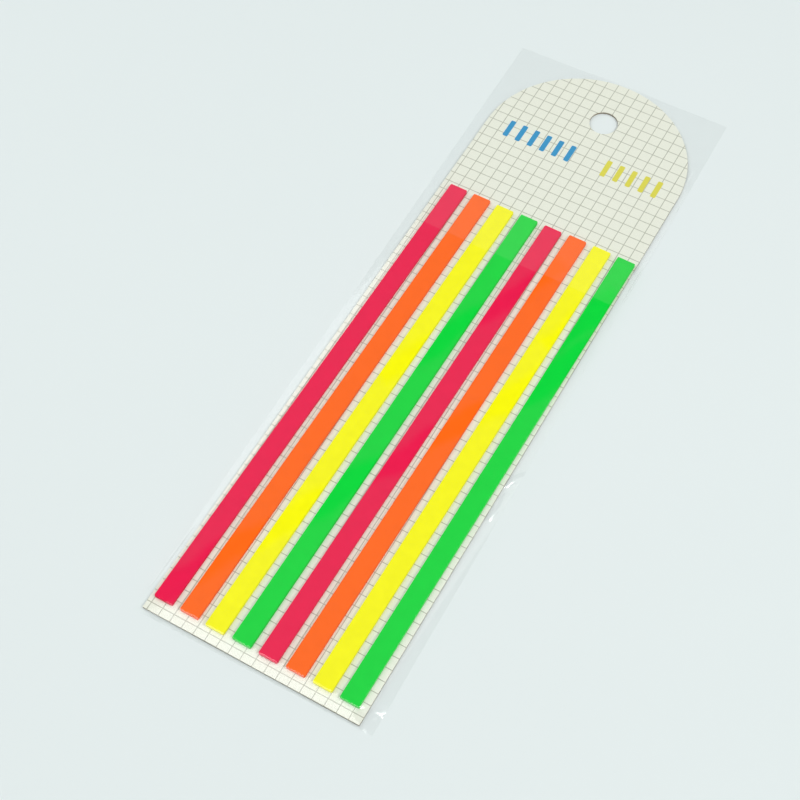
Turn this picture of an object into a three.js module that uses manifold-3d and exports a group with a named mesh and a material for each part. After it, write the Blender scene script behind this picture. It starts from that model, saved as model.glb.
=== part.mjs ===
// Sticky index tabs: pads of narrow coloured film strips, stuck side by side on a hang card that
// stands in a clear film sleeve. The pack lies on its back: +Z is up, +Y runs towards the card's
// rounded end, and the origin is at the middle of the sleeve's underside. Millimetres.
import * as THREE from 'three';
import { ConvexGeometry } from 'three/addons/geometries/ConvexGeometry.js';
import { mergeVertices } from 'three/addons/utils/BufferGeometryUtils.js';
import Module from 'manifold-3d';

const wasm = await Module();
wasm.setup();

// Hang card: straight sides, a square lower end and a half-round upper end
const cardWidth = 58.4;
const cardLength = 200;
const cardThickness = 0.5;
const cardTurnDeg = -0.66;

// Hang hole, through the card and both films
const hangHoleDiameter = 8;
const hangHoleFromTop = 15;

// Pads: each is one stack of film sheets
const sheetThickness = 0.045;
const sheetsPerPad = 20;
const padWidth = 5;
const padLength = 141;
const padCornerRadius = 0.3;
const padPitch = 7.2;
const padRowOffset = 0.3;
const padsAboveCardEnd = 3.4;
const padTurnDeg = -0.64;

// Pads from left to right, with how far each one was laid above or below the row's line
const padRow = [
  { name: 'pad_pink_left', colour: 0xef385a, slip: 0.1 },
  { name: 'pad_orange_left', colour: 0xfe7235, slip: 0.1 },
  { name: 'pad_yellow_left', colour: 0xf9f816, slip: -0.2 },
  { name: 'pad_green_left', colour: 0x20d845, slip: 0 },
  { name: 'pad_pink_right', colour: 0xef385a, slip: -0.15 },
  { name: 'pad_orange_right', colour: 0xfe7235, slip: 0.1 },
  { name: 'pad_yellow_right', colour: 0xf9f816, slip: 0 },
  { name: 'pad_green_right', colour: 0x20d845, slip: -0.1 },
];

// Sleeve: a flat tube of film, folded at the lower end, welded at both sides, open at the top
const filmThickness = 0.1;
const sleeveSideRoom = 1.3;
const sleeveEndRoom = 0.5;
const sleeveWeld = 0.4;
const filmSlack = 0.3;

// Fineness of round outlines
const holeSegments = 48;
const roundEndSegments = 64;
const cornerSegments = 6;

// What follows from the sizes above
const cardTurn = THREE.MathUtils.degToRad(cardTurnDeg);
const padTurn = THREE.MathUtils.degToRad(padTurnDeg);
const padThickness = sheetThickness * sheetsPerPad;
const holeRadius = hangHoleDiameter / 2;
const cardUnderside = filmThickness;
const cardTop = cardUnderside + cardThickness;
const padTop = cardTop + padThickness;

// A point of the card's own plane, turned into the sleeve's frame
function onTurnedCard(x, y) {
  return new THREE.Vector2(x, y).rotateAround(new THREE.Vector2(0, 0), cardTurn);
}

// The card's outline, centred on its own middle
function cardOutline() {
  const half = cardWidth / 2;
  const shape = new THREE.Shape();
  shape.moveTo(-half, -cardLength / 2);
  shape.lineTo(half, -cardLength / 2);
  shape.lineTo(half, cardLength / 2 - half);
  shape.absarc(0, cardLength / 2 - half, half, 0, Math.PI, false);
  shape.closePath();
  return shape;
}

const holeOnCard = new THREE.Vector2(0, cardLength / 2 - hangHoleFromTop);

function makeCard() {
  const shape = cardOutline();
  const hole = new THREE.Path();
  hole.absarc(holeOnCard.x, holeOnCard.y, holeRadius, 0, Math.PI * 2, true);
  shape.holes.push(hole);
  return new THREE.ExtrudeGeometry(shape, {
    depth: cardThickness,
    bevelEnabled: false,
    curveSegments: roundEndSegments,
  });
}

// One pad's outline, centred on its own middle, with its corners lightly rounded
function padOutline() {
  const x = padWidth / 2;
  const y = padLength / 2;
  const r = padCornerRadius;
  const shape = new THREE.Shape();
  shape.absarc(x - r, -y + r, r, -Math.PI / 2, 0, false);
  shape.absarc(x - r, y - r, r, 0, Math.PI / 2, false);
  shape.absarc(-x + r, y - r, r, Math.PI / 2, Math.PI, false);
  shape.absarc(-x + r, -y + r, r, Math.PI, Math.PI * 1.5, false);
  shape.closePath();
  return shape;
}

function makePad() {
  return new THREE.ExtrudeGeometry(padOutline(), {
    depth: padThickness,
    bevelEnabled: false,
    curveSegments: cornerSegments,
  });
}

// Where a pad's middle lies on the card
function padCentre(index) {
  const fromMiddle = index - (padRow.length - 1) / 2;
  const x = padRowOffset + fromMiddle * padPitch;
  const y = -cardLength / 2 + padsAboveCardEnd + padLength / 2 + padRow[index].slip;
  return new THREE.Vector2(x, y);
}

// The corners of every pad in the sleeve's frame, moved outwards by a margin
function padCorners(margin) {
  const corners = [];
  padRow.forEach((pad, index) => {
    const centre = padCentre(index);
    for (const side of [-1, 1]) {
      for (const end of [-1, 1]) {
        const corner = new THREE.Vector2(
          side * (padWidth / 2 + margin),
          end * (padLength / 2 + margin),
        );
        corner.rotateAround(new THREE.Vector2(0, 0), padTurn).add(centre);
        corners.push(onTurnedCard(corner.x, corner.y));
      }
    }
  });
  return corners;
}

// The card's outline in the sleeve's frame, and the box that holds it
const turnedCard = cardOutline().getPoints(roundEndSegments).map((p) => onTurnedCard(p.x, p.y));
const cardBox = new THREE.Box2().setFromPoints(turnedCard);
const sleeveWidth = cardBox.max.x - cardBox.min.x + 2 * (sleeveSideRoom + sleeveWeld);
const sleeveLength = cardBox.max.y - cardBox.min.y + 2 * sleeveEndRoom + filmThickness;
const sleeveSide = sleeveWidth / 2;
const sleeveEnd = sleeveLength / 2;

// The card's middle, so that it lies centred between the welds and just above the bottom fold
const cardCentre = new THREE.Vector2(
  -(cardBox.min.x + cardBox.max.x) / 2,
  -sleeveEnd + filmThickness + sleeveEndRoom - cardBox.min.y,
);

// Points of a pillow shape: a flat floor outline, the card's top and the pads' tops under the film
function pillow(side, bottom, mouth, floorZ, seamZ, cardZ, padZ, margin) {
  const points = [];
  for (const x of [-side, side]) {
    for (const y of [bottom, mouth]) {
      points.push(new THREE.Vector3(x, y, floorZ), new THREE.Vector3(x, y, seamZ));
    }
  }
  for (const p of turnedCard) {
    points.push(new THREE.Vector3(p.x + cardCentre.x, p.y + cardCentre.y, cardZ));
  }
  const mouthHalf = cardWidth / 4;
  for (const x of [-mouthHalf, mouthHalf]) {
    points.push(new THREE.Vector3(x, mouth, cardZ));
  }
  for (const p of padCorners(margin)) {
    points.push(new THREE.Vector3(p.x + cardCentre.x, p.y + cardCentre.y, padZ));
  }
  return new ConvexGeometry(points);
}

// Booleans on closed meshes
function toSolid(geometry) {
  const bare = geometry.clone();
  bare.deleteAttribute('normal');
  bare.deleteAttribute('uv');
  const merged = mergeVertices(bare, 1e-5);
  return new wasm.Manifold(new wasm.Mesh({
    numProp: 3,
    vertProperties: new Float32Array(merged.attributes.position.array),
    triVerts: new Uint32Array(merged.index.array),
  }));
}

function toGeometry(solid) {
  const mesh = solid.getMesh();
  const geometry = new THREE.BufferGeometry();
  geometry.setAttribute('position', new THREE.BufferAttribute(mesh.vertProperties, 3));
  geometry.setIndex(new THREE.BufferAttribute(mesh.triVerts, 1));
  geometry.computeVertexNormals();
  return geometry;
}

// The film over the contents: an outer skin less the room inside it, punched for the peg
function makeSleeve() {
  const seam = 2 * filmThickness;
  const outer = toSolid(pillow(
    sleeveSide, -sleeveEnd, sleeveEnd,
    0, seam, cardTop + filmSlack + filmThickness, padTop + filmThickness, filmSlack + filmThickness,
  ));
  const mouthPast = 1;
  const inner = toSolid(pillow(
    sleeveSide - sleeveWeld, -sleeveEnd + filmThickness, sleeveEnd + mouthPast,
    filmThickness, filmThickness * 1.5, cardTop + filmSlack, padTop, filmSlack,
  ));
  const hole = onTurnedCard(holeOnCard.x, holeOnCard.y).add(cardCentre);
  const punchLength = 4 * padTop;
  const punch = new THREE.CylinderGeometry(holeRadius, holeRadius, punchLength, holeSegments);
  punch.rotateX(Math.PI / 2);
  punch.translate(hole.x, hole.y, 0);
  return toGeometry(outer.subtract(inner).subtract(toSolid(punch)));
}

function named(name, geometry, colour, roughness, extra = {}) {
  const material = new THREE.MeshStandardMaterial({ color: colour, roughness, metalness: 0, ...extra });
  const mesh = new THREE.Mesh(geometry, material);
  mesh.name = name;
  return mesh;
}

function makePack() {
  const pack = new THREE.Group();

  const onCard = new THREE.Group();
  onCard.position.set(cardCentre.x, cardCentre.y, cardUnderside);
  onCard.rotation.z = cardTurn;
  pack.add(onCard);

  onCard.add(named('hang_card', makeCard(), 0xedebdf, 0.7));

  const padGeometry = makePad();
  padRow.forEach((pad, index) => {
    const centre = padCentre(index);
    const mesh = named(pad.name, padGeometry, pad.colour, 0.45);
    mesh.position.set(centre.x, centre.y, cardThickness);
    mesh.rotation.z = padTurn;
    onCard.add(mesh);
  });

  const clear = { transparent: true, opacity: 0.2 };
  pack.add(named('clear_sleeve', makeSleeve(), 0xf4f8f8, 0.1, clear));
  return pack;
}

export default makePack();
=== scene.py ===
# %% [markdown]
# A flat pack of sticky index tabs: eight pads of neon film strips on a cream hang card with a
# printed grid, all inside a clear film sleeve. The pack lies on a pale table. The solids come from
# the frame, and this file gives each of them its look: the card its paper and its print, the pads
# their stacked sheets, and the sleeve its thin, slightly creased film.

import math

import bmesh
import bpy
import numpy as np
from mathutils import Matrix, Quaternion, Vector


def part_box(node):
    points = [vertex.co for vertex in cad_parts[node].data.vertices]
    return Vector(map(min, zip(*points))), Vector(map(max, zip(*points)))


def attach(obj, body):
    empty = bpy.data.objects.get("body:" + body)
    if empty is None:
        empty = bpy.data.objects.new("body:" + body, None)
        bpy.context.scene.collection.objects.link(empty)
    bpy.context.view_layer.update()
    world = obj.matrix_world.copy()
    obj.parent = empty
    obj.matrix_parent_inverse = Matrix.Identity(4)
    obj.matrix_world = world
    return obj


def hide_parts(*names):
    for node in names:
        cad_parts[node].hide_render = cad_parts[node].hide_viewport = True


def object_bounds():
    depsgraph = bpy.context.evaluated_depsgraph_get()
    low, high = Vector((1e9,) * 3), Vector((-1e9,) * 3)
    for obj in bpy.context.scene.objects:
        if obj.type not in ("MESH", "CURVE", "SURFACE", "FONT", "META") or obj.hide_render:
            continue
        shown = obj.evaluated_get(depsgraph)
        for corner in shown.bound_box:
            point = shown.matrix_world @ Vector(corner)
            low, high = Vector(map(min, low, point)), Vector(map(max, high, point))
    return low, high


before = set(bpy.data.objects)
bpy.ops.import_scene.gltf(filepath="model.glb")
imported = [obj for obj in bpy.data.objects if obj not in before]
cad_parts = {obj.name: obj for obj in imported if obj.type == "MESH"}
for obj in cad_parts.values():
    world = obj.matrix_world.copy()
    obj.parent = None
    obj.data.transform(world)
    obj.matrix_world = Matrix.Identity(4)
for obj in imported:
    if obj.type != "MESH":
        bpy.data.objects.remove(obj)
cad_low, cad_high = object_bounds()
MM = 0.001
print("frame", [round(v / MM, 1) for v in cad_high - cad_low], "mm")

# %% [markdown]
# Everything follows from a few sizes. No measure of the real pack is known, so they were counted in
# cells of the card's printed grid, with a cell taken as 3.2 mm. The card was slipped into its sleeve
# a little askew, and the row of pads leans a little more, so two small turns place every piece. The
# places themselves are read off the solids.

# %% Sizes and places
card_turn = math.radians(-0.66)
pad_turn = card_turn + math.radians(-0.64)
card_width = 58.4 * MM
card_length = 200 * MM
film_thickness = 0.04 * MM
pad_names = [
    "pad_pink_left", "pad_orange_left", "pad_yellow_left", "pad_green_left",
    "pad_pink_right", "pad_orange_right", "pad_yellow_right", "pad_green_right",
]


def turned(x, y, angle):
    """A point of a flat plane, turned about the plane's origin."""
    c, s = math.cos(angle), math.sin(angle)
    return x * c - y * s, x * s + y * c


card_low, card_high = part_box("hang_card")
corner_left = turned(-card_width / 2, -card_length / 2, card_turn)
corner_right = turned(card_width / 2, -card_length / 2, card_turn)
card_centre = (card_low.x - corner_left[0], card_low.y - corner_right[1])
card_top = card_high.z

pad_boxes = [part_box(name) for name in pad_names]
pad_centres = [((low.x + high.x) / 2, (low.y + high.y) / 2) for low, high in pad_boxes]
pad_top = pad_boxes[0][1].z
pad_width = 5 * MM
pad_length = 141 * MM
sleeve_low, sleeve_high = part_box("clear_sleeve")

hole_radius = 4 * MM
hole_from_top = 15 * MM
hole_turned = turned(0, card_length / 2 - hole_from_top, card_turn)
hole_centre = (card_centre[0] + hole_turned[0], card_centre[1] + hole_turned[1])
print("card centre", card_centre, "pad top", pad_top, "hole", hole_centre)

# %% [markdown]
# The camera looks down on the pack from its lower right, a forearm's length away, with a longish
# lens. Its place is given as a photographer would set it: where it aims, from which side, how high,
# how far, and how much it is rolled.

# %% Camera
aim = Vector((-5.1, -21.3, 0)) * MM
azimuth = math.radians(30.16)
elevation = math.radians(58.53)
distance = 392.5 * MM
roll = math.radians(1.36)
lens = 70.4
sensor_width = 36

back = Vector((
    math.sin(azimuth) * math.cos(elevation),
    -math.cos(azimuth) * math.cos(elevation),
    math.sin(elevation),
))
camera_data = bpy.data.cameras.new("camera")
camera_data.lens = lens
camera_data.sensor_width = sensor_width
camera_data.clip_start = 0.01
camera = bpy.data.objects.new("camera", camera_data)
bpy.context.scene.collection.objects.link(camera)
camera.location = aim + back * distance
camera.rotation_mode = "QUATERNION"
camera.rotation_quaternion = (-back).to_track_quat("-Z", "Y") @ Quaternion((0, 0, 1), -roll)
bpy.context.scene.camera = camera
print("camera at", [round(v, 3) for v in camera.location])

# %% [markdown]
# Two helpers keep the node trees readable: one makes a new material and hands back its tree, and
# one adds a node, sets its plain values and links its inputs in a single call.

# %% Node helpers
def add_node(tree, kind, inputs=None, **settings):
    """Adds a node. A value in inputs that is a socket is linked, and any other is set."""
    node = tree.nodes.new(kind)
    for key, value in settings.items():
        setattr(node, key, value)
    for key, value in (inputs or {}).items():
        if isinstance(value, bpy.types.NodeSocket):
            tree.links.new(value, node.inputs[key])
        else:
            node.inputs[key].default_value = value
    return node


def math_node(tree, operation, a, b=0.0, c=0.0):
    """A Math node's result."""
    node = add_node(tree, "ShaderNodeMath", {0: a, 1: b, 2: c}, operation=operation)
    return node.outputs[0]


def mix_colour(tree, factor, a, b):
    """A Mix node's colour."""
    node = add_node(tree, "ShaderNodeMix", {"Factor": factor}, data_type="RGBA")
    for key, value in ((6, a), (7, b)):
        if isinstance(value, bpy.types.NodeSocket):
            tree.links.new(value, node.inputs[key])
        else:
            node.inputs[key].default_value = (*value, 1)
    return node.outputs[2]


def new_material(name):
    """An empty node material, its tree and its output node."""
    material = bpy.data.materials.new(name)
    material.use_nodes = True
    material.node_tree.nodes.clear()
    output = material.node_tree.nodes.new("ShaderNodeOutputMaterial")
    return material, material.node_tree, output


def new_group(name, inputs, outputs):
    """An empty shader node group with named sockets, and its input and output nodes."""
    group = bpy.data.node_groups.new(name, "ShaderNodeTree")
    for label, kind, default in inputs:
        socket = group.interface.new_socket(label, in_out="INPUT", socket_type=kind)
        if default is not None:
            socket.default_value = default
    for label, kind in outputs:
        group.interface.new_socket(label, in_out="OUTPUT", socket_type=kind)
    return group, group.nodes.new("NodeGroupInput"), group.nodes.new("NodeGroupOutput")


# %% [markdown]
# The pack was photographed on a pale, faintly blue table. Two soft boxes light it from high up, one
# on the near side and a broad one at the right, and a wide window stands lower at the left. A small
# bright lamp at the right gives the film's creases their glints. The flat film mirrors none of
# these. It mirrors only the dim room, so it stays clear, and its slopes and creases catch the
# light. Seen directly, the room is brighter, so that a view across the table isn't backed by a dark
# wall.
#
# One value of the renderer is set here, the number of clear faces that light may cross. It crosses
# four faces of film on its way in and four more on its way out, and the usual eight would darken
# the table under the empty film.

# %% Table, room and lamps
table_colour = (0.785, 0.85, 0.845)
table_cloud_shade = 0.985
table_cloud_scale = 9.0
table_roughness = 0.75
table_gloss = 0.2
table_drop = 0.02 * MM
table_half_size = 3.0
room_strength = 0.34
seen_room_strength = 0.85
room_colour = (0.96, 0.99, 1.0)
clear_faces_crossed = 24
lamp_white = (1.0, 0.995, 0.985)
window_white = (0.97, 0.985, 1.0)
# Each lamp's name, place, size, power and colour
lamps = [
    ("near_softbox", (-0.2, -0.28, 0.9), (0.62, 0.52), 2.7, lamp_white),
    ("right_softbox", (0.62, 0.42, 0.9), (1.15, 0.85), 3.3, lamp_white),
    ("small_lamp", (0.72, 0.02, 0.85), (0.24, 0.24), 2.6, lamp_white),
    ("left_window", (-0.95, 0.25, 0.65), (0.85, 0.75), 3.5, window_white),
]


def make_table():
    size = table_half_size
    mesh = bpy.data.meshes.new("table")
    z = cad_low.z - table_drop
    corners = [(-size, -size, z), (size, -size, z), (size, size, z), (-size, size, z)]
    mesh.from_pydata(corners, [], [(0, 1, 2, 3)])
    table = bpy.data.objects.new("table", mesh)
    bpy.context.scene.collection.objects.link(table)
    material, tree, output = new_material("pale_table")
    place = add_node(tree, "ShaderNodeTexCoord")
    cloud = add_node(tree, "ShaderNodeTexNoise", {
        "Vector": place.outputs["Object"], "Scale": table_cloud_scale, "Detail": 3.0})
    tone = mix_colour(tree, cloud.outputs["Fac"], table_colour,
                      tuple(table_cloud_shade * c for c in table_colour))
    surface = add_node(tree, "ShaderNodeBsdfPrincipled", {
        "Base Color": tone, "Roughness": table_roughness, "Specular IOR Level": table_gloss})
    tree.links.new(surface.outputs[0], output.inputs[0])
    mesh.materials.append(material)


def make_room():
    world = bpy.data.worlds.new("room")
    bpy.context.scene.world = world
    world.use_nodes = True
    tree = world.node_tree
    tree.nodes.clear()
    output = tree.nodes.new("ShaderNodeOutputWorld")
    path = add_node(tree, "ShaderNodeLightPath")
    strength = math_node(tree, "MULTIPLY_ADD", path.outputs["Is Camera Ray"],
                         seen_room_strength - room_strength, room_strength)
    light = add_node(tree, "ShaderNodeBackground", {
        "Color": (*room_colour, 1), "Strength": strength})
    tree.links.new(light.outputs[0], output.inputs[0])


def make_lamp(name, place, size, power, colour):
    data = bpy.data.lights.new(name, "AREA")
    data.shape = "RECTANGLE"
    data.size, data.size_y = size
    data.energy = power
    data.color = colour
    lamp = bpy.data.objects.new(name, data)
    bpy.context.scene.collection.objects.link(lamp)
    lamp.location = place
    lamp.rotation_euler = (-Vector(place)).to_track_quat("-Z", "Y").to_euler()


make_table()
make_room()
for values in lamps:
    make_lamp(*values)
bpy.context.scene.view_settings.view_transform = "Standard"
bpy.context.scene.cycles.transparent_max_bounces = clear_faces_crossed
print("lamps", len(lamps))

# %% [markdown]
# Paper and film both carry a very fine unevenness that keeps them from looking like plastic
# blocks. One shared group makes it: a noise in real millimetres, given out as a value around one
# half and as a height for a Bump node.

# %% Shared finish: fine grain
finer_grain = 4.3
finer_height = 0.35


def make_grain_group():
    group, entry, out = new_group(
        "fine_grain",
        [("Vector", "NodeSocketVector", None), ("Grain per Metre", "NodeSocketFloat", 1500.0)],
        [("Value", "NodeSocketFloat"), ("Height", "NodeSocketFloat")],
    )
    coarse = add_node(group, "ShaderNodeTexNoise", {
        "Vector": entry.outputs["Vector"], "Scale": entry.outputs["Grain per Metre"],
        "Detail": 2.0, "Roughness": 0.6})
    finer_scale = math_node(group, "MULTIPLY", entry.outputs["Grain per Metre"], finer_grain)
    fine = add_node(group, "ShaderNodeTexNoise", {
        "Vector": entry.outputs["Vector"], "Scale": finer_scale, "Detail": 1.0})
    height = math_node(group, "MULTIPLY_ADD", fine.outputs["Fac"], finer_height,
                       coarse.outputs["Fac"])
    group.links.new(coarse.outputs["Fac"], out.inputs["Value"])
    group.links.new(height, out.inputs["Height"])
    return group


fine_grain = make_grain_group()
print("group", fine_grain.name)

# %% [markdown]
# The card is printed with a plain square grid of thin olive-grey lines. A print like this is
# easiest as a mask: fold each coordinate into one cell of the grid, measure the distance to the
# nearest line, and call everything nearer than half a line width ink. The group takes the pitch and
# the width as inputs, so the print keeps its real size in millimetres.

# %% Shared finish: ruled grid
line_core = 0.7
line_reach = 1.3


def make_grid_group():
    group, entry, out = new_group(
        "ruled_grid",
        [("Vector", "NodeSocketVector", None), ("Pitch", "NodeSocketFloat", 0.0032),
         ("Line Width", "NodeSocketFloat", 0.00025), ("First X", "NodeSocketFloat", 0.0),
         ("First Y", "NodeSocketFloat", 0.0)],
        [("Mask", "NodeSocketFloat")],
    )
    split = add_node(group, "ShaderNodeSeparateXYZ", {0: entry.outputs["Vector"]})
    masks = []
    for axis, first in (("X", "First X"), ("Y", "First Y")):
        moved = math_node(group, "SUBTRACT", split.outputs[axis], entry.outputs[first])
        away = math_node(group, "PINGPONG", moved, math_node(
            group, "MULTIPLY", entry.outputs["Pitch"], 0.5))
        edge = math_node(group, "MULTIPLY", entry.outputs["Line Width"], 0.5)
        inner = math_node(group, "MULTIPLY", edge, line_core)
        outer = math_node(group, "MULTIPLY", edge, line_reach)
        line = add_node(group, "ShaderNodeMapRange", {
            "Value": away, "From Min": inner, "From Max": outer, "To Min": 1.0, "To Max": 0.0})
        masks.append(line.outputs[0])
    both = math_node(group, "MAXIMUM", masks[0], masks[1])
    group.links.new(both, out.inputs["Mask"])
    return group


ruled_grid = make_grid_group()
print("group", ruled_grid.name)

# %% [markdown]
# The card itself is a stiff cream board, and its solid already has the right shape: straight
# sides, a square lower end, a half-round upper end and the punched hang hole. It only needs its
# finish. The Mapping node turns the pattern into the card's own directions, because the card lies
# slightly askew.

# %% Card
card_cream = (0.855, 0.875, 0.758)
board_core = (0.36, 0.30, 0.22)
grid_ink = (0.37, 0.38, 0.29)
grid_pitch = 3.2 * MM
grid_line = 0.225 * MM
grid_from_left = 1.18 * MM
grid_from_end = 2.0 * MM
grid_first_x = -card_width / 2 + grid_from_left
grid_first_y = -card_length / 2 + grid_from_end
paper_shade = 0.97
card_grain = 900.0
ink_cover = 0.55
ink_cover_spread = 0.5
card_roughness = 0.52
card_roughness_spread = 0.15
card_bump = 0.12
card_bump_height = 0.03 * MM


def make_card_material():
    material, tree, output = new_material("printed_card")
    place = add_node(tree, "ShaderNodeTexCoord")
    on_card = add_node(tree, "ShaderNodeMapping", {
        "Vector": place.outputs["Object"], "Location": (*card_centre, 0),
        "Rotation": (0, 0, card_turn)}, vector_type="TEXTURE")
    grid = add_node(tree, "ShaderNodeGroup", node_tree=ruled_grid)
    for key, value in (("Pitch", grid_pitch), ("Line Width", grid_line),
                       ("First X", grid_first_x), ("First Y", grid_first_y)):
        grid.inputs[key].default_value = value
    tree.links.new(on_card.outputs[0], grid.inputs["Vector"])
    grain = add_node(tree, "ShaderNodeGroup", node_tree=fine_grain)
    grain.inputs["Grain per Metre"].default_value = card_grain
    tree.links.new(on_card.outputs[0], grain.inputs["Vector"])
    geometry = add_node(tree, "ShaderNodeNewGeometry")
    up = add_node(tree, "ShaderNodeSeparateXYZ", {0: geometry.outputs["Normal"]})
    printed = math_node(tree, "GREATER_THAN", up.outputs["Z"], 0.5)
    uneven = math_node(tree, "MULTIPLY_ADD", grain.outputs["Value"], ink_cover_spread, ink_cover)
    ink = math_node(tree, "MULTIPLY", grid.outputs["Mask"], uneven)
    ink = math_node(tree, "MULTIPLY", ink, printed)
    shaded_cream = tuple(c * paper_shade for c in card_cream)
    paper = mix_colour(tree, grain.outputs["Value"], card_cream, shaded_cream)
    core = mix_colour(tree, printed, board_core, paper)
    colour = mix_colour(tree, ink, core, grid_ink)
    rough = math_node(tree, "MULTIPLY_ADD", grain.outputs["Value"], card_roughness_spread,
                      card_roughness)
    bump = add_node(tree, "ShaderNodeBump", {
        "Height": grain.outputs["Height"], "Strength": card_bump, "Distance": card_bump_height})
    surface = add_node(tree, "ShaderNodeBsdfPrincipled", {
        "Base Color": colour, "Roughness": rough, "Normal": bump.outputs[0]})
    tree.links.new(surface.outputs[0], output.inputs[0])
    return material


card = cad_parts["hang_card"]
card.data.materials.clear()
card.data.materials.append(make_card_material())
print("card grid", grid_pitch / MM, "mm")

# %% [markdown]
# A Geometry Nodes tree is built in code by a few small steps that repeat: name an input, add a
# node, link it. These helpers hold them, and one more runs a tree on an empty mesh and keeps the
# result as a plain mesh, because the modifier itself is only the workshop.

# %% Geometry Nodes helpers
corner_points = 5
weld_distance = 1e-7


def new_geometry_tree(name, inputs):
    """A Geometry Nodes tree with named inputs, and its input and output nodes."""
    tree = bpy.data.node_groups.new(name, "GeometryNodeTree")
    tree.interface.new_socket("Geometry", in_out="OUTPUT", socket_type="NodeSocketGeometry")
    for label, kind in inputs:
        tree.interface.new_socket(label, in_out="INPUT", socket_type=kind)
    return tree, tree.nodes.new("NodeGroupInput"), tree.nodes.new("NodeGroupOutput")


def run_tree(name, tree, values):
    """Runs a tree with these input values, and returns a plain mesh object of the result."""
    workshop = bpy.data.objects.new(name + "_workshop", bpy.data.meshes.new(name + "_empty"))
    bpy.context.scene.collection.objects.link(workshop)
    modifier = workshop.modifiers.new("build", "NODES")
    modifier.node_group = tree
    for item in tree.interface.items_tree:
        if item.in_out == "INPUT" and item.name in values:
            modifier[item.identifier] = values[item.name]
    depsgraph = bpy.context.evaluated_depsgraph_get()
    mesh = bpy.data.meshes.new_from_object(workshop.evaluated_get(depsgraph))
    mesh.name = name
    bpy.data.objects.remove(workshop)
    piece = bpy.data.objects.new(name, mesh)
    bpy.context.scene.collection.objects.link(piece)
    return piece


def rounded_outline(tree, width, height, radius):
    """A rectangle curve with rounded corners, ready to be filled."""
    outline = add_node(tree, "GeometryNodeCurvePrimitiveQuadrilateral", {
        "Width": width, "Height": height})
    return add_node(tree, "GeometryNodeFilletCurve", {
        "Curve": outline.outputs[0], "Radius": radius, "Count": corner_points},
        mode="POLY").outputs[0]


def plate(tree, outline, thickness):
    """A closed flat plate: the outline filled, pulled up by the thickness and closed below."""
    face = add_node(tree, "GeometryNodeFillCurve", {"Curve": outline}, mode="NGONS")
    pulled = add_node(tree, "GeometryNodeExtrudeMesh", {
        "Mesh": face.outputs[0], "Offset Scale": thickness, "Individual": False})
    below = add_node(tree, "GeometryNodeFlipFaces", {"Mesh": face.outputs[0]})
    joined = add_node(tree, "GeometryNodeJoinGeometry")
    tree.links.new(below.outputs[0], joined.inputs[0])
    tree.links.new(pulled.outputs["Mesh"], joined.inputs[0])
    return add_node(tree, "GeometryNodeMergeByDistance", {
        "Geometry": joined.outputs[0], "Distance": weld_distance}).outputs[0]


# %% [markdown]
# Each pad is a stack of twenty film sheets. On the real pad the sheets never lie exactly on top of
# each other, and that shows as fine lines along its sides. So the pad is built the same way: one
# sheet, repeated up a short line of points, each copy shifted and turned by a hair. An attribute
# called along keeps each point's distance from the lower end, for the finish.

# %% Pads: the stack
sheets_per_pad = 20
sheet_pitch = 0.045 * MM
sheet_thickness = 0.04 * MM
sheet_slip = 0.035 * MM
sheet_corner = 0.3 * MM
slip_along_share = 1.5


def make_stack_tree():
    tree, entry, out = new_geometry_tree("sheet_stack", [
        ("Width", "NodeSocketFloat"), ("Length", "NodeSocketFloat"),
        ("Corner", "NodeSocketFloat"), ("Sheet", "NodeSocketFloat"),
        ("Pitch", "NodeSocketFloat"), ("Count", "NodeSocketInt"),
        ("Slip", "NodeSocketFloat"), ("Seed", "NodeSocketInt"),
        ("Material", "NodeSocketMaterial")])
    outline = rounded_outline(tree, entry.outputs["Width"], entry.outputs["Length"],
                              entry.outputs["Corner"])
    sheet = plate(tree, outline, entry.outputs["Sheet"])
    step = add_node(tree, "ShaderNodeCombineXYZ", {"Z": entry.outputs["Pitch"]})
    line = add_node(tree, "GeometryNodeMeshLine", {
        "Count": entry.outputs["Count"], "Offset": step.outputs[0]}, mode="OFFSET")
    least = add_node(tree, "ShaderNodeCombineXYZ", {
        "X": math_node(tree, "MULTIPLY", entry.outputs["Slip"], -1.0),
        "Y": math_node(tree, "MULTIPLY", entry.outputs["Slip"], -slip_along_share)})
    most = add_node(tree, "ShaderNodeCombineXYZ", {
        "X": entry.outputs["Slip"],
        "Y": math_node(tree, "MULTIPLY", entry.outputs["Slip"], slip_along_share)})
    shift = add_node(tree, "FunctionNodeRandomValue", data_type="FLOAT_VECTOR")
    tree.links.new(least.outputs[0], shift.inputs[0])
    tree.links.new(most.outputs[0], shift.inputs[1])
    tree.links.new(entry.outputs["Seed"], shift.inputs["Seed"])
    placed = add_node(tree, "GeometryNodeSetPosition", {
        "Geometry": line.outputs[0], "Offset": shift.outputs[0]})
    copies = add_node(tree, "GeometryNodeInstanceOnPoints", {
        "Points": placed.outputs[0], "Instance": sheet})
    real = add_node(tree, "GeometryNodeRealizeInstances", {"Geometry": copies.outputs[0]})
    point = add_node(tree, "GeometryNodeInputPosition")
    split = add_node(tree, "ShaderNodeSeparateXYZ", {0: point.outputs[0]})
    half = math_node(tree, "MULTIPLY", entry.outputs["Length"], 0.5)
    along = math_node(tree, "ADD", split.outputs["Y"], half)
    kept = add_node(tree, "GeometryNodeStoreNamedAttribute", {
        "Geometry": real.outputs[0], "Name": "along", "Value": along}, data_type="FLOAT")
    finished = add_node(tree, "GeometryNodeSetMaterial", {
        "Geometry": kept.outputs[0], "Material": entry.outputs["Material"]})
    tree.links.new(finished.outputs[0], out.inputs[0])
    return tree


stack_tree = make_stack_tree()
print("tree", stack_tree.name)

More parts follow.
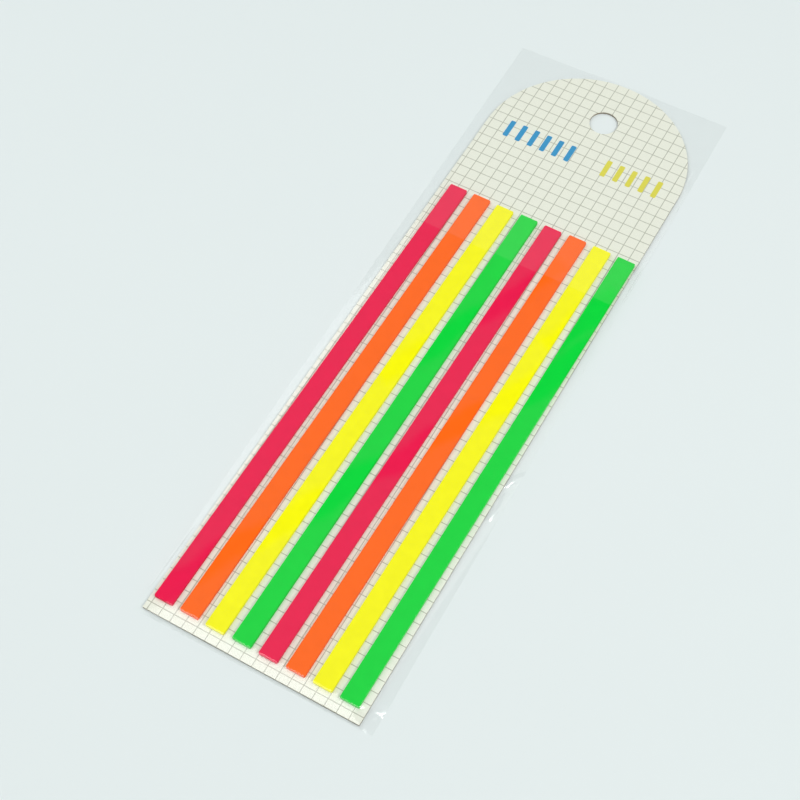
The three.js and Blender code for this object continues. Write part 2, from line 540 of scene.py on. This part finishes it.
# %% [markdown]
# Neon film looks brighter than its surroundings because it turns unseen light into visible light.
# A little emission in the strip's own colour does the same. The Light Path node makes it somewhat
# stronger for the light that falls on the card beside each pad, which tints the card there. The
# last fifteen millimetres at the upper end have no adhesive below them and look a shade lighter,
# with a crisp border.

# %% Pads: the neon film
neon = {
    "pink": (0.655, 0.006, 0.056),
    "orange": (0.80, 0.11, 0.003),
    "yellow": (0.745, 0.73, 0.0),
    "green": (0.0, 0.525, 0.034),
}
glow_strength = 0.30
thrown_glow_strength = 0.42
side_shade = 0.6
side_glow = 1.15
free_end = 15 * MM
free_end_lift = 0.022
free_end_white = (0.92, 0.92, 0.92)
tone_spread = 0.06
neon_grain = 420.0
neon_roughness = 0.30
neon_roughness_spread = 0.12
neon_gloss = 0.1
neon_bump = 0.05
neon_bump_height = 0.02 * MM


def make_neon_material(name, colour):
    material, tree, output = new_material("neon_film_" + name)
    place = add_node(tree, "ShaderNodeTexCoord")
    grain = add_node(tree, "ShaderNodeGroup", node_tree=fine_grain)
    grain.inputs["Grain per Metre"].default_value = neon_grain
    tree.links.new(place.outputs["Object"], grain.inputs["Vector"])
    along = add_node(tree, "ShaderNodeAttribute", attribute_name="along")
    free = math_node(tree, "GREATER_THAN", along.outputs["Fac"], pad_length - free_end)
    lift = math_node(tree, "MULTIPLY", free, free_end_lift)
    even = mix_colour(tree, grain.outputs["Value"], tuple((1 - tone_spread) * c for c in colour),
                      tuple((1 + tone_spread) * c for c in colour))
    top_tone = mix_colour(tree, lift, even, free_end_white)
    # Faces that don't look up, the pads' sides, get a painted shade: their colour is darkened to a
    # share of the strip's colour. Their glow is painted stronger than the top's, and it tints the
    # card in the gaps.
    geometry = add_node(tree, "ShaderNodeNewGeometry")
    up = add_node(tree, "ShaderNodeSeparateXYZ", {0: geometry.outputs["Normal"]})
    side = math_node(tree, "LESS_THAN", up.outputs["Z"], 0.5)
    tone = mix_colour(tree, side, top_tone, tuple(side_shade * c for c in colour))
    glow = mix_colour(tree, side, top_tone, tuple(side_glow * c for c in colour))
    rough = math_node(tree, "MULTIPLY_ADD", grain.outputs["Value"], neon_roughness_spread,
                      neon_roughness)
    bump = add_node(tree, "ShaderNodeBump", {
        "Height": grain.outputs["Height"], "Strength": neon_bump, "Distance": neon_bump_height})
    path = add_node(tree, "ShaderNodeLightPath")
    strength = math_node(tree, "MULTIPLY_ADD", path.outputs["Is Diffuse Ray"],
                         thrown_glow_strength - glow_strength, glow_strength)
    surface = add_node(tree, "ShaderNodeBsdfPrincipled", {
        "Base Color": tone, "Roughness": rough, "Normal": bump.outputs[0],
        "Emission Color": glow, "Emission Strength": strength,
        "Specular IOR Level": neon_gloss})
    tree.links.new(surface.outputs[0], output.inputs[0])
    return material


neon_materials = {name: make_neon_material(name, colour) for name, colour in neon.items()}
print("neon films", len(neon_materials))

# %% [markdown]
# The tree now makes the eight pads in turn. Each gets its own seed for the slips, is turned and
# laid on the card where its solid lies, and takes that solid's place.

# %% Pads: lay them on the card
pads = []
for index, name in enumerate(pad_names):
    hue = name.split("_")[1]
    pad = run_tree(name + "_sheets", stack_tree, {
        "Width": pad_width, "Length": pad_length, "Corner": sheet_corner,
        "Sheet": sheet_thickness, "Pitch": sheet_pitch, "Count": sheets_per_pad,
        "Slip": sheet_slip, "Seed": index + 1, "Material": neon_materials[hue]})
    centre = pad_centres[index]
    place = Matrix.Translation((*centre, card_top)) @ Matrix.Rotation(pad_turn, 4, "Z")
    pad.data.transform(place)
    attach(pad, "root")
    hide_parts(name)
    pads.append(pad)
print("pads", len(pads), "with", len(pads[0].data.polygons), "faces each")

# %% [markdown]
# Where the card carries print above the pads, this pack has two short rows of little printed
# strips in the same blue and mustard inks. Ink lies on the card as a skin a few hundredths of a
# millimetre thick, so each mark is a real thin plate, and one tree repeats it along a row.

# %% Printed marks
ink_thickness = 0.02 * MM
mark_size = (1.5 * MM, 6.0 * MM)
mark_corner = 0.35 * MM
ink_thinness = 0.03
ink_grain = 1600.0
ink_roughness = 0.5
mark_height_on_card = 70.5 * MM
# Each row's name, number of marks, first mark's place, pitch and ink
mark_rows = [
    ("blue_marks", 6, -22.2 * MM, 3.77 * MM, (0.006, 0.29, 0.58)),
    ("mustard_marks", 5, 7.7 * MM, 3.81 * MM, (0.74, 0.69, 0.055)),
]


def make_mark_tree():
    tree, entry, out = new_geometry_tree("row_of_marks", [
        ("Count", "NodeSocketInt"), ("Pitch", "NodeSocketFloat"),
        ("Width", "NodeSocketFloat"), ("Height", "NodeSocketFloat"),
        ("Corner", "NodeSocketFloat"),
        ("Ink", "NodeSocketFloat"), ("Material", "NodeSocketMaterial")])
    outline = rounded_outline(tree, entry.outputs["Width"], entry.outputs["Height"],
                              entry.outputs["Corner"])
    mark = plate(tree, outline, entry.outputs["Ink"])
    step = add_node(tree, "ShaderNodeCombineXYZ", {"X": entry.outputs["Pitch"]})
    line = add_node(tree, "GeometryNodeMeshLine", {
        "Count": entry.outputs["Count"], "Offset": step.outputs[0]}, mode="OFFSET")
    copies = add_node(tree, "GeometryNodeInstanceOnPoints", {
        "Points": line.outputs[0], "Instance": mark})
    real = add_node(tree, "GeometryNodeRealizeInstances", {"Geometry": copies.outputs[0]})
    finished = add_node(tree, "GeometryNodeSetMaterial", {
        "Geometry": real.outputs[0], "Material": entry.outputs["Material"]})
    tree.links.new(finished.outputs[0], out.inputs[0])
    return tree


def make_ink_material(name, colour):
    material, tree, output = new_material(name + "_ink")
    place = add_node(tree, "ShaderNodeTexCoord")
    grain = add_node(tree, "ShaderNodeGroup", node_tree=fine_grain)
    grain.inputs["Grain per Metre"].default_value = ink_grain
    tree.links.new(place.outputs["Object"], grain.inputs["Vector"])
    thin = math_node(tree, "MULTIPLY", grain.outputs["Value"], ink_thinness)
    tone = mix_colour(tree, thin, colour, card_cream)
    surface = add_node(tree, "ShaderNodeBsdfPrincipled", {
        "Base Color": tone, "Roughness": ink_roughness})
    tree.links.new(surface.outputs[0], output.inputs[0])
    return material


mark_tree = make_mark_tree()
for name, count, first, pitch, colour in mark_rows:
    marks = run_tree(name, mark_tree, {
        "Count": count, "Pitch": pitch, "Width": mark_size[0], "Height": mark_size[1],
        "Corner": mark_corner, "Ink": ink_thickness,
        "Material": make_ink_material(name, colour)})
    marks.data.transform(Matrix.Translation((first, mark_height_on_card, 0)))
    marks.data.transform(Matrix.Translation((*card_centre, card_top))
                         @ Matrix.Rotation(card_turn, 4, "Z"))
    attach(marks, "root")
    print(name, len(marks.data.polygons), "faces")

# %% [markdown]
# The sleeve is a flat tube of clear film. Its front lies over eight pads that stand proud of the
# card, so it can't be a plain rectangle: it rests on the pads, hangs a little into the gaps
# between them, falls off beyond their ends and comes down to the welds at the sides. That is a
# membrane over obstacles, and it is solved as one: every point of a grid takes the mean of its
# neighbours less a small sag, and is then lifted back on top of whatever lies below it.

# %% Sleeve: the grid over the pack
sleeve_half = (sleeve_high.x - sleeve_low.x) / 2
sleeve_bottom = sleeve_low.y
sleeve_mouth = sleeve_high.y
weld_height = 2.2 * film_thickness
film_clearance = 0.004 * MM
pad_edge_offsets = [-0.55 * MM, -0.2 * MM, 0.0, 0.25 * MM, 0.7 * MM]
beside_middle = 1.1 * MM
columns_at_left = 7
columns_at_right = 9
row_margin_low = 2 * MM
row_margin_high = 4 * MM
row_steps = [0.4 * MM, 0.7 * MM, 0.5 * MM, 0.8 * MM]
lean_fade = 2.0 * MM
least_gap = 1e-7


def spaced(stops, steps):
    """Values from the first stop to the last, with a step of its own between each two stops."""
    values = [stops[0]]
    for a, b, step in zip(stops, stops[1:], steps):
        count = max(1, round((b - a) / step))
        values += [a + (b - a) * k / count for k in range(1, count + 1)]
    return np.array(values)


def across_stops():
    """Columns close together at each pad's edges, and wider apart on its top."""
    row_y = sum(c[1] for c in pad_centres) / len(pad_centres)
    columns = [-sleeve_half, sleeve_half]
    for x, y in pad_centres:
        middle = x - (row_y - y) * math.tan(pad_turn)
        columns += [middle, middle - beside_middle, middle + beside_middle]
        columns += [middle - pad_width / 2 - o for o in pad_edge_offsets]
        columns += [middle + pad_width / 2 + o for o in pad_edge_offsets]
    left, right = min(columns[2:]), max(columns[2:])
    columns += list(np.linspace(-sleeve_half, left, columns_at_left)[1:-1])
    columns += list(np.linspace(right, sleeve_half, columns_at_right)[1:-1])
    return np.array(sorted(columns)), row_y


columns, pad_row_y = across_stops()
pad_end_low = min(low.y for low, high in pad_boxes)
pad_end_high = max(high.y for low, high in pad_boxes)
row_stops = [
    sleeve_bottom, pad_end_low + row_margin_low, pad_end_high - row_margin_low,
    pad_end_high + row_margin_high, sleeve_mouth,
]
rows = spaced(row_stops, row_steps)

lean_share = np.clip((sleeve_half - np.abs(columns)) / lean_fade, 0, 1)
grid_x = columns[None, :] - (rows[:, None] - pad_row_y) * math.tan(pad_turn) * lean_share[None, :]
grid_x = np.clip(grid_x, -sleeve_half, sleeve_half)
grid_x = np.maximum.accumulate(grid_x + np.arange(len(columns)) * least_gap, axis=1)
grid_y = np.repeat(rows[:, None], len(columns), axis=1)
print("film grid", grid_x.shape)

# %% [markdown]
# Two distances say where the card and the pads lie under each point of the grid, and from them
# comes the lowest height that the film can have there. It leaves each edge over a short slope, as
# a springy film does, so it never shows the card's edge as a row of steps. Along the card's lower
# end the film has a small ridge, where it was folded, and at both sides it is held down by the
# welds.

# %% Sleeve: what lies under the film
card_slope_width = 0.45 * MM
pad_slope_width = 0.22 * MM
edge_margin = 0.08 * MM
fold_ridge_height = 1.15 * MM
fold_ridge_from_edge = 2.1 * MM
fold_ridge_width = 0.5 * MM
weld_width = 0.35 * MM
far_away = 1.0


def local(x, y, centre, angle):
    """Points in the directions of a piece that was turned and placed."""
    c, s = math.cos(angle), math.sin(angle)
    dx, dy = x - centre[0], y - centre[1]
    return dx * c + dy * s, -dx * s + dy * c


def card_distance(x, y):
    """Distance outside the card's outline, negative inside it."""
    cx, cy = local(x, y, card_centre, card_turn)
    half = card_width / 2
    arc_y = card_length / 2 - half
    side = np.abs(cx) - half
    end = -card_length / 2 - cy
    straight = np.maximum(side, end)
    arc = np.hypot(cx, cy - arc_y) - half
    return np.where(cy > arc_y, arc, straight)


def pad_distance(x, y):
    """Distance outside the nearest pad's outline, negative inside it."""
    best = np.full(np.shape(x), far_away)
    for centre in pad_centres:
        px, py = local(x, y, centre, pad_turn)
        best = np.minimum(best, np.maximum(np.abs(px) - pad_width / 2,
                                           np.abs(py) - pad_length / 2))
    return best


table_level = cad_low.z + weld_height
card_level = card_top + ink_thickness + film_thickness + film_clearance
pad_level = pad_top + film_thickness + film_clearance


def held_up(distance, slope_width):
    """1 on a piece, falling to 0 over a short slope outside its outline."""
    return np.clip(1 - (distance - edge_margin) / slope_width, 0, 1)


on_card = held_up(card_distance(grid_x, grid_y), card_slope_width)
on_pad = held_up(pad_distance(grid_x, grid_y), pad_slope_width)
support = table_level + (card_level - table_level) * on_card
support = support + (pad_level - support) * on_pad

ridge_x, ridge_y = local(grid_x, grid_y, card_centre, card_turn)
on_ridge = ((np.abs(ridge_y + card_length / 2 - fold_ridge_from_edge) < fold_ridge_width)
            & (np.abs(ridge_x) < card_width / 2 - fold_ridge_from_edge))
support = np.where(on_ridge, np.maximum(support, fold_ridge_height), support)
on_weld = np.abs(grid_x) > sleeve_half - weld_width
print("grid points on the pads:", int((on_pad > 0).sum()), "of", on_pad.size)

# %% [markdown]
# Now the film comes down. Many rounds of the mean let it sag until it rests, and a few more round
# its sharp bends off. Last come six short creases, where the film was pinched: each is a sharp
# little roof whose ends taper off. They lie at the right edge and near the lower left corner.

# %% Sleeve: the front film drapes
sag_per_mm2 = 0.11
drape_rounds = 1400
stiffness_rounds = 9
own_share = 0.4
neighbour_share = 0.15
# Each crease's place, turn in degrees, length, width and rise, in millimetres
creases = [
    (30.6, -28.5, 62, 3.0, 1.15, 0.76),
    (30.5, -33.5, 96, 1.8, 0.7, 0.40),
    (30.4, -38.5, 76, 2.6, 1.1, 0.70),
    (30.6, -95.5, 62, 3.0, 1.15, 0.72),
    (30.5, -88.5, 60, 1.8, 0.6, 0.22),
    (-30.9, -86.0, 88, 9.0, 0.5, 0.16),
]


def drape(support):
    """The film's height over each grid point: a sagging membrane that rests on its support."""
    dx = np.diff(grid_x, axis=1)
    dy = np.diff(rows)
    west, east = dx[1:-1, :-1], dx[1:-1, 1:]
    south, north = dy[:-1, None], dy[1:, None]
    weight_w = 2 / (west * (west + east))
    weight_e = 2 / (east * (west + east))
    weight_s = 2 / (south * (south + north))
    weight_n = 2 / (north * (south + north))
    total = weight_w + weight_e + weight_s + weight_n
    load = sag_per_mm2 / MM
    height = support.copy()
    for _ in range(drape_rounds):
        mean = (weight_w * height[1:-1, :-2] + weight_e * height[1:-1, 2:]
                + weight_s * height[:-2, 1:-1] + weight_n * height[2:, 1:-1] - load) / total
        height[1:-1, 1:-1] = np.maximum(mean, support[1:-1, 1:-1])
        height[-1, :] = np.maximum(height[-2, :], support[-1, :])
        height[0, :] = table_level
        height[on_weld] = table_level
    return height


def stiffen(height):
    """Rounds sharp bends off, as a springy film does, without letting it sink into a pad."""
    for _ in range(stiffness_rounds):
        inner = height.copy()
        inner[1:-1, 1:-1] = (
            height[1:-1, 1:-1] * own_share
            + neighbour_share * (height[1:-1, :-2] + height[1:-1, 2:]
                                 + height[:-2, 1:-1] + height[2:, 1:-1]))
        height = np.maximum(inner, support)
    return height


def crease(height, x, y, degrees, length, width, rise):
    """Adds one short sharp crease, a roof whose ends taper off."""
    along, over = local(grid_x, grid_y, (x * MM, y * MM), math.radians(degrees))
    roof = np.clip(1 - np.abs(over) / (width * MM), 0, 1)
    taper = np.exp(-(along / (length * MM)) ** 2)
    return height + rise * MM * roof * taper


film_height = stiffen(drape(support))
for values in creases:
    film_height = crease(film_height, *values)
print("film", round(film_height.max() / MM, 2), "mm high at most")

# %% [markdown]
# The front film and a flat back film make one tube, closed by the fold at the lower end and open at
# the mouth. The hang hole is opened in both films by taking the faces inside it away and drawing
# the rim onto the circle. A Solidify modifier then gives the film its real wall.

# %% Sleeve: the tube of film
back_hole_reach = 6 * MM
back_hole_columns = 16
back_side_column = 20 * MM
rim_reach = 1.2 * MM
sharp_angle = math.radians(40)


def build_sleeve(height):
    """One surface around the pack: front film, back film and the fold at the lower end."""
    count_y, count_x = height.shape
    near_hole = np.linspace(hole_centre[0] + back_hole_reach, hole_centre[0] - back_hole_reach,
                            back_hole_columns)
    back_columns = np.concatenate(([sleeve_half, back_side_column], near_hole,
                                   [-back_side_column, -sleeve_half]))
    points = []
    for j in range(count_y):
        for i in range(count_x):
            points.append((grid_x[j, i], grid_y[j, i], height[j, i]))
        for x in back_columns:
            points.append((x, rows[j], cad_low.z))
    ring = count_x + len(back_columns)
    faces = []
    for j in range(count_y - 1):
        for i in range(ring):
            a, b = j * ring + i, j * ring + (i + 1) % ring
            faces.append((a, b, b + ring, a + ring))
    faces.append(tuple(reversed(range(ring))))
    mesh = bpy.data.meshes.new("clear_sleeve_film")
    mesh.from_pydata(points, [], faces)
    mesh.validate()
    return mesh


def punch_hole(mesh):
    """Opens the hang hole: faces inside it go, and the rim is drawn onto the circle."""
    work = bmesh.new()
    work.from_mesh(mesh)
    centre = Vector((*hole_centre, 0))
    inside = [f for f in work.faces
              if (f.calc_center_median().xy - centre.xy).length < hole_radius and len(f.verts) == 4]
    bmesh.ops.delete(work, geom=inside, context="FACES")
    for v in work.verts:
        if not v.is_boundary:
            continue
        away = (v.co.xy - centre.xy).length
        if away < hole_radius + rim_reach:
            v.co.xy = centre.xy + (v.co.xy - centre.xy) * (hole_radius / away)
    work.to_mesh(mesh)
    work.free()


def thicken(piece):
    """Gives the film its wall, inwards, and keeps the result as the piece's mesh."""
    wall = piece.modifiers.new("wall", "SOLIDIFY")
    wall.thickness = film_thickness
    wall.offset = -1
    wall.use_rim = True
    depsgraph = bpy.context.evaluated_depsgraph_get()
    mesh = bpy.data.meshes.new_from_object(piece.evaluated_get(depsgraph))
    piece.modifiers.clear()
    mesh.set_sharp_from_angle(angle=sharp_angle)
    piece.data = mesh


sleeve_mesh = build_sleeve(film_height)
punch_hole(sleeve_mesh)
sleeve_mesh.shade_smooth()
print("film surface", len(sleeve_mesh.polygons), "faces")

# %% [markdown]
# In three straight bands the film is painted to mirror next to nothing, a painted lack of
# reflection, so the colours below look deeper, in a band with a soft and slightly wavy edge. One
# group makes such a band from its place, its turn and its size in real millimetres, and the film
# uses it three times.

# %% Shared finish: painted dull band
wave_scale = 55.0
wave_swing = 0.004


def make_painted_dull_band_group():
    """One straight soft-edged band, where the film's reflection is painted weaker."""
    group, entry, out = new_group(
        "painted_dull_band",
        [("Vector", "NodeSocketVector", None), ("Start", "NodeSocketVector", None),
         ("Turn", "NodeSocketFloat", 0.0), ("Half Width", "NodeSocketFloat", 0.002),
         ("Length", "NodeSocketFloat", 0.1), ("Softness", "NodeSocketFloat", 0.002)],
        [("Mask", "NodeSocketFloat")],
    )
    turn = add_node(group, "ShaderNodeCombineXYZ", {"Z": entry.outputs["Turn"]})
    on_band = add_node(group, "ShaderNodeMapping", {
        "Vector": entry.outputs["Vector"], "Location": entry.outputs["Start"],
        "Rotation": turn.outputs[0]}, vector_type="TEXTURE")
    split = add_node(group, "ShaderNodeSeparateXYZ", {0: on_band.outputs[0]})
    wobble = add_node(group, "ShaderNodeTexNoise", {
        "Vector": entry.outputs["Vector"], "Scale": wave_scale, "Detail": 1.0})
    swing = math_node(group, "MULTIPLY_ADD", wobble.outputs["Fac"], 2 * wave_swing, -wave_swing)
    beside = math_node(group, "ABSOLUTE", math_node(group, "ADD", split.outputs["Y"], swing))
    past = math_node(group, "SUBTRACT", math_node(group, "ABSOLUTE", split.outputs["X"]),
                     entry.outputs["Length"])
    away = math_node(group, "MAXIMUM", beside, past)
    outer = math_node(group, "ADD", entry.outputs["Half Width"], entry.outputs["Softness"])
    mask = add_node(group, "ShaderNodeMapRange", {
        "Value": away, "From Min": entry.outputs["Half Width"], "From Max": outer,
        "To Min": 1.0, "To Max": 0.0}, interpolation_type="SMOOTHSTEP")
    group.links.new(mask.outputs[0], out.inputs["Mask"])
    return group


painted_dull_band = make_painted_dull_band_group()
print("group", painted_dull_band.name)

# %% [markdown]
# Clear film is almost nothing but reflections. Each face lets most light straight through and
# mirrors a few percent of it, more at a glancing angle. Layer Weight's Facing gives the angle from
# both sides of the film alike, and the usual fifth power turns it into the share that is mirrored.
# Shadow rays and diffuse rays pass straight through, so the film takes no light from what it holds.

# %% Sleeve: the film's finish
# Each band's place, turn in degrees, half width and length each way, in millimetres
painted_dull_bands = [
    (-24.9, -88.4, 61.5, 1.6, 200.0),
    (0.3, 8.4, 65.0, 1.2, 27.0),
    (25.5, 21.0, 65.0, 2.2, 9.0),
]
dull_band_softness = 3.0 * MM
dull_band_share_left = 0.08
mirror_head_on = 0.028
glancing_power = 5.0
film_roughness = 0.10
film_tint = (0.999, 1.0, 0.9995, 1)


def make_film_material():
    material, tree, output = new_material("clear_film")
    facing = add_node(tree, "ShaderNodeLayerWeight", {"Blend": 0.5})
    glancing = math_node(tree, "POWER", facing.outputs["Facing"], glancing_power)
    share = math_node(tree, "MULTIPLY_ADD", glancing, 1 - mirror_head_on, mirror_head_on)
    place = add_node(tree, "ShaderNodeTexCoord")
    dullness = 0.0
    for x, y, degrees, half_width, length in painted_dull_bands:
        band = add_node(tree, "ShaderNodeGroup", node_tree=painted_dull_band)
        tree.links.new(place.outputs["Object"], band.inputs["Vector"])
        band.inputs["Start"].default_value = (x * MM, y * MM, 0)
        band.inputs["Turn"].default_value = math.radians(degrees)
        band.inputs["Half Width"].default_value = half_width * MM
        band.inputs["Length"].default_value = length * MM
        band.inputs["Softness"].default_value = dull_band_softness
        dullness = math_node(tree, "MAXIMUM", dullness, band.outputs[0])
    # In the bands the mirrored share is painted down to a small part of itself, a painted lack of
    # reflection.
    left_over = math_node(tree, "MULTIPLY_ADD", dullness, dull_band_share_left - 1, 1.0)
    share = math_node(tree, "MULTIPLY", share, left_over)
    clear = add_node(tree, "ShaderNodeBsdfTransparent", {"Color": film_tint})
    gloss = add_node(tree, "ShaderNodeBsdfAnisotropic", {
        "Color": (1, 1, 1, 1), "Roughness": film_roughness})
    path = add_node(tree, "ShaderNodeLightPath")
    passing = math_node(tree, "MAXIMUM", path.outputs["Is Shadow Ray"],
                        path.outputs["Is Diffuse Ray"])
    lit = math_node(tree, "SUBTRACT", 1.0, passing)
    both = add_node(tree, "ShaderNodeMixShader", {0: math_node(tree, "MULTIPLY", share, lit)})
    tree.links.new(clear.outputs[0], both.inputs[1])
    tree.links.new(gloss.outputs[0], both.inputs[2])
    tree.links.new(both.outputs[0], output.inputs[0])
    return material


sleeve_mesh.materials.append(make_film_material())
sleeve = bpy.data.objects.new("clear_sleeve_film", sleeve_mesh)
bpy.context.scene.collection.objects.link(sleeve)
thicken(sleeve)
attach(sleeve, "root")
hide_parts("clear_sleeve")
print("sleeve", len(sleeve.data.polygons), "faces")
